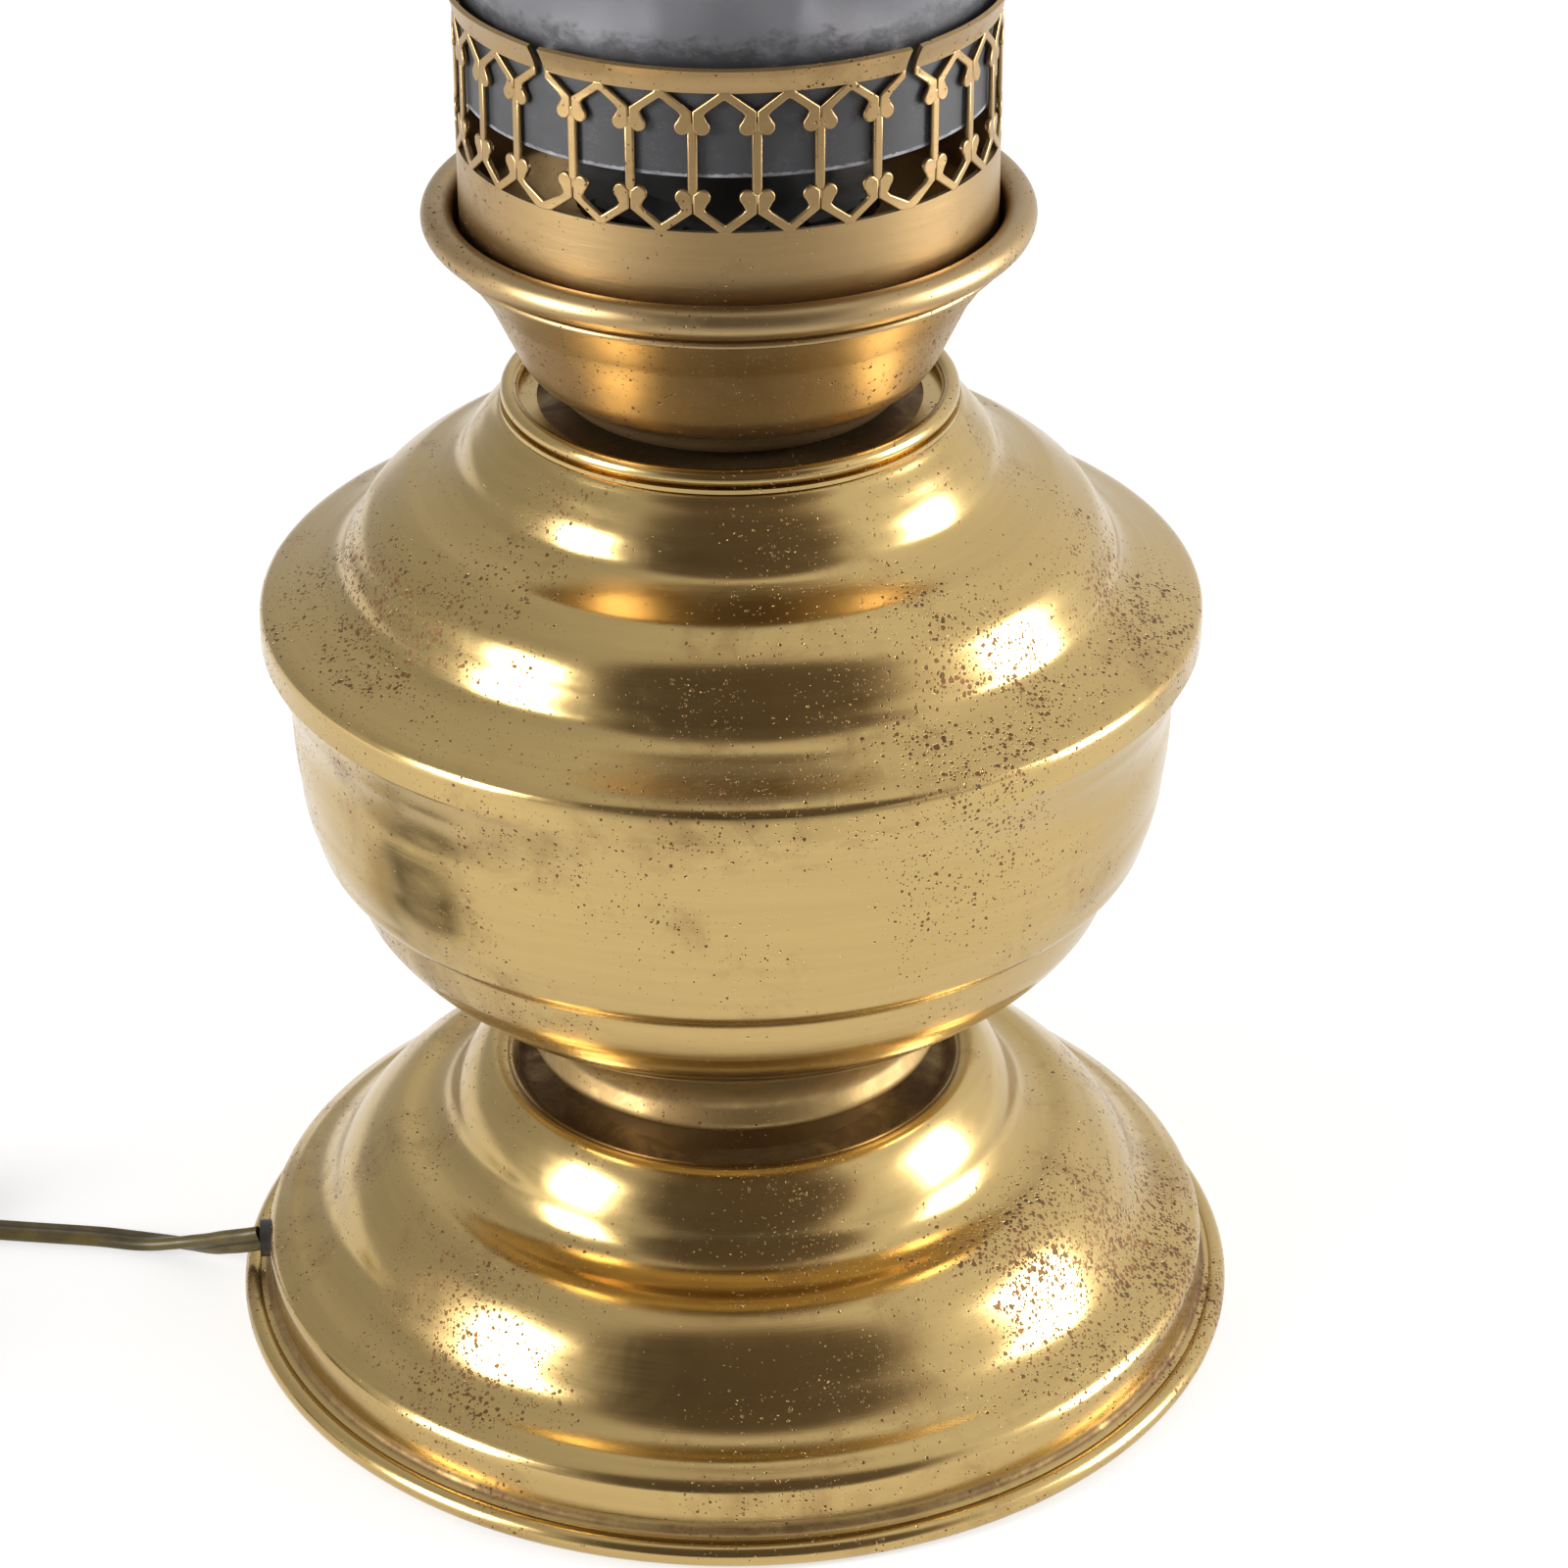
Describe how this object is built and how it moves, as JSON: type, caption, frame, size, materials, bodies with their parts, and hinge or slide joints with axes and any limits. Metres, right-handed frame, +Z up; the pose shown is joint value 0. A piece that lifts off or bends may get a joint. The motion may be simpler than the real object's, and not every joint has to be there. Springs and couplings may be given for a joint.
{
  "type": "oil lamp",
  "caption": "Electrified brass oil lamp: stepped round foot and font, flared burner cup, pierced gallery with a glass, bulb inside, and a flat flex with switch and plug.",
  "frame": {"origin": "on the floor under the middle of the foot", "axes": "+Z up along the rod, towards the top of the glass; the flex leaves towards -X"},
  "size_m": [0.3674, 0.205, 0.493],
  "materials": {
    "polished_brass": "worn polish, fine turning marks, small dark pits",
    "dull_brass": "unpolished, dull tan",
    "plain_brass": "satin",
    "steel": "zinc plated",
    "iron": "rough cast",
    "felt": "baize",
    "black_plastic": "moulded, slightly dusty",
    "black_rubber": "moulded",
    "porcelain": "glazed",
    "ivory_plastic": "moulded",
    "nickel": "nickel plated",
    "flex_skin": "aged clear yellow-brown sheath",
    "smoky_glass": "clear with a grey tint, ground lower edge",
    "frosted_glass": "frosted",
    "clear_glass": "clear",
    "filament": "coated",
    "dark_glass": "black glass"
  },
  "bodies": {
    "lamp": {"foot_shell": "polished_brass", "font_bowl": "polished_brass", "font_dome": "polished_brass", "collar_ring": "polished_brass", "neck_spacer": "dull_brass", "burner_cup": "dull_brass", "gallery": "dull_brass", "holder_shell": "plain_brass", "holder_contact": "plain_brass", "base_plate": "steel", "central_rod": "steel", "base_nut": "steel", "base_washer": "steel", "cup_washer": "steel", "gallery_spacer": "steel", "lock_nut": "steel", "cord_grip_screws": "steel", "terminal_screws": "steel", "switch_screws": "steel", "switch_pivot": "steel", "foot_weight": "iron", "base_board": "felt", "holder_cap": "black_plastic", "holder_body": "black_plastic", "shade_ring": "black_plastic", "cord_bush": "black_plastic", "coil_tie": "black_plastic", "plug_body": "black_rubber", "plug_sleeves": "black_rubber", "holder_insert": "porcelain", "cord_grip": "porcelain", "switch_base": "ivory_plastic", "switch_cover": "ivory_plastic", "plug_pins": "nickel", "inner_flex": "flex_skin", "flex_to_switch": "flex_skin", "flex_to_coil": "flex_skin", "flex_coil": "flex_skin", "flex_to_plug": "flex_skin"},
    "glass": {"glass_chimney": "smoky_glass"},
    "bulb": {"bulb_glass": "frosted_glass", "bulb_cap": "nickel", "bulb_insulator": "dark_glass", "bulb_contact": "nickel", "bulb_stem": "clear_glass", "bulb_filament": "filament"},
    "rocker": {"switch_rocker": "ivory_plastic"}
  },
  "joints": [
    {"name": "glass_lift", "type": "slide", "parent": "lamp", "child": "glass", "axis": [0, 0, 1], "range_m": [0, 0.13]},
    {"name": "bulb_out", "type": "slide", "parent": "lamp", "child": "bulb", "axis": [0, 0, 1], "range_m": [0, 0.26]},
    {"name": "rocker_tip", "type": "hinge", "parent": "lamp", "child": "rocker", "pos_m": [-0.203, 0.01, 0.0126], "axis": [0, 1, 0], "range_deg": [-14, 0]}
  ]
}
